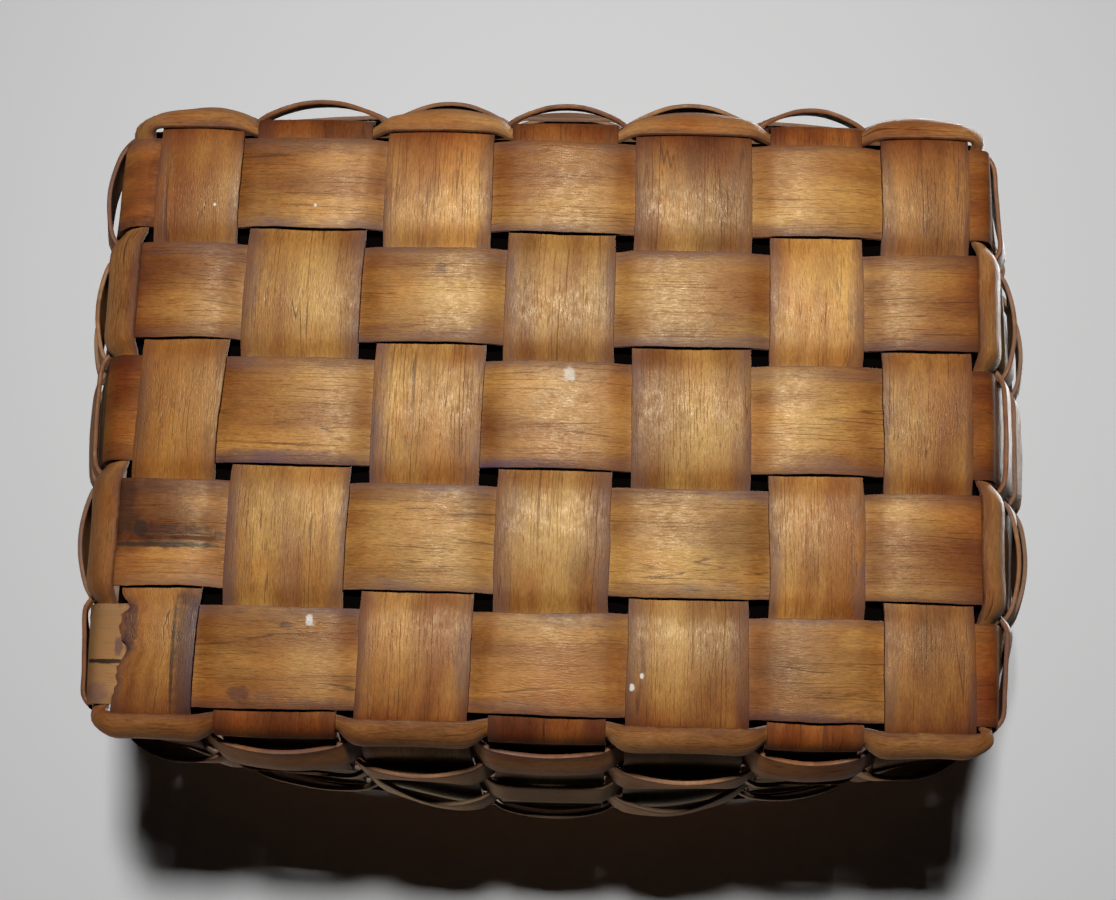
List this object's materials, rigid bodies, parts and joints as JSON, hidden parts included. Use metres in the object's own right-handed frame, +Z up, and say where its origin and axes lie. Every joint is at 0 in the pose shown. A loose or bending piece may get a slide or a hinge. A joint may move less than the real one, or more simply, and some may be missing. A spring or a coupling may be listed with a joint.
{
  "type": "basket",
  "caption": "Small rectangular basket of flat wood splints in plain weave, with a square-cornered base, flaring walls and a rim of two hoops bound with a thin lashing.",
  "frame": {"origin": "middle of the underside, under the middle of the basket's bounding box", "axes": "+Z up, out of the open mouth, +X along the long side and +Y along the short side"},
  "size_m": [0.1082, 0.0824, 0.0467],
  "materials": {
    "base_splint": "clear-varnished splint, honey to mid brown, satin, fine dark pores along the length",
    "weaver": "clear-varnished splint, red brown, satin",
    "rim_hoop": "clear-varnished splint, mid brown, satin",
    "lashing": "thin pale splint, satin"
  },
  "bodies": {
    "root": {"short_splint_1": "base_splint", "short_splint_2": "base_splint", "short_splint_3": "base_splint", "short_splint_4": "base_splint", "short_splint_5": "base_splint", "short_splint_6": "base_splint", "short_splint_7": "base_splint", "long_splint_1": "base_splint", "long_splint_2": "base_splint", "long_splint_3": "base_splint", "long_splint_4": "base_splint", "long_splint_5": "base_splint", "weaver_row_1": "weaver", "weaver_row_2": "weaver", "weaver_row_3": "weaver", "weaver_row_4": "weaver", "weaver_row_5": "weaver", "weaver_row_6": "weaver", "weaver_row_7": "weaver", "weaver_row_8": "weaver", "inner_rim_hoop": "rim_hoop", "outer_rim_hoop": "rim_hoop", "rim_lashing": "lashing"}
  },
  "joints": []
}
